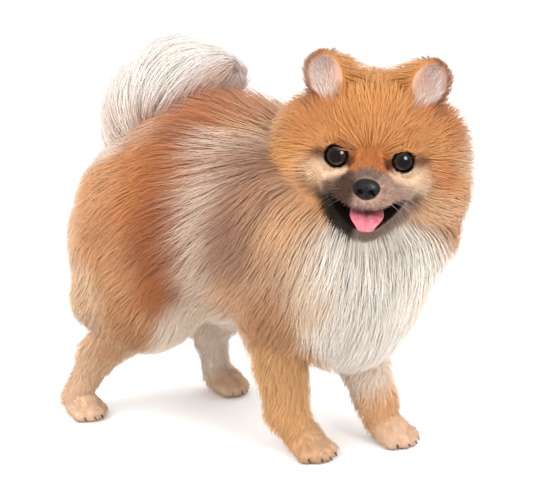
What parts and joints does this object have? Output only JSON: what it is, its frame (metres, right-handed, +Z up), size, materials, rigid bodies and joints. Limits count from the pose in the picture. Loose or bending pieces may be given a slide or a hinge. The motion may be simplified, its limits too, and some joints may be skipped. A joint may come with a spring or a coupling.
{
  "type": "standing pomeranian dog",
  "caption": "Life-size still model of a small spitz dog standing with its head turned to its right, with a full ruff, a plumed tail over the back and an open mouth with the tongue out.",
  "frame": {"origin": "middle of the footprint of the whole dog, on the floor that its soles stand on", "axes": "+Z up, -Y the way the body faces (tail end at +Y), +X the dog's left side"},
  "size_m": [0.1694, 0.3106, 0.2895],
  "materials": {
    "orange_fur": "long dense double coat, soft and dull",
    "cream_fur": "long straight ruff and bib, soft and dull",
    "white_fur": "long loose plume, soft and dull",
    "paw_fur": "short flat fur with dark claws",
    "ear_fur": "thin velvety fur",
    "dark_fur": "short dark fur and lip",
    "eye": "wet, glossy, near black",
    "nose": "moist grained leather",
    "tongue": "moist, softly shining"
  },
  "bodies": {
    "root": {"ear_left": "ear_fur", "ear_right": "ear_fur", "eye_left": "eye", "eye_right": "eye", "foreleg_left": "orange_fur", "foreleg_right": "orange_fur", "forepaw_left": "paw_fur", "forepaw_right": "paw_fur", "head": "orange_fur", "hindpaw_left": "paw_fur", "hindpaw_right": "paw_fur", "lower_jaw": "dark_fur", "neck": "cream_fur", "nose": "nose", "shank_left": "orange_fur", "shank_right": "orange_fur", "tail": "white_fur", "thigh_left": "orange_fur", "thigh_right": "orange_fur", "tongue": "tongue", "torso": "orange_fur"}
  },
  "joints": []
}
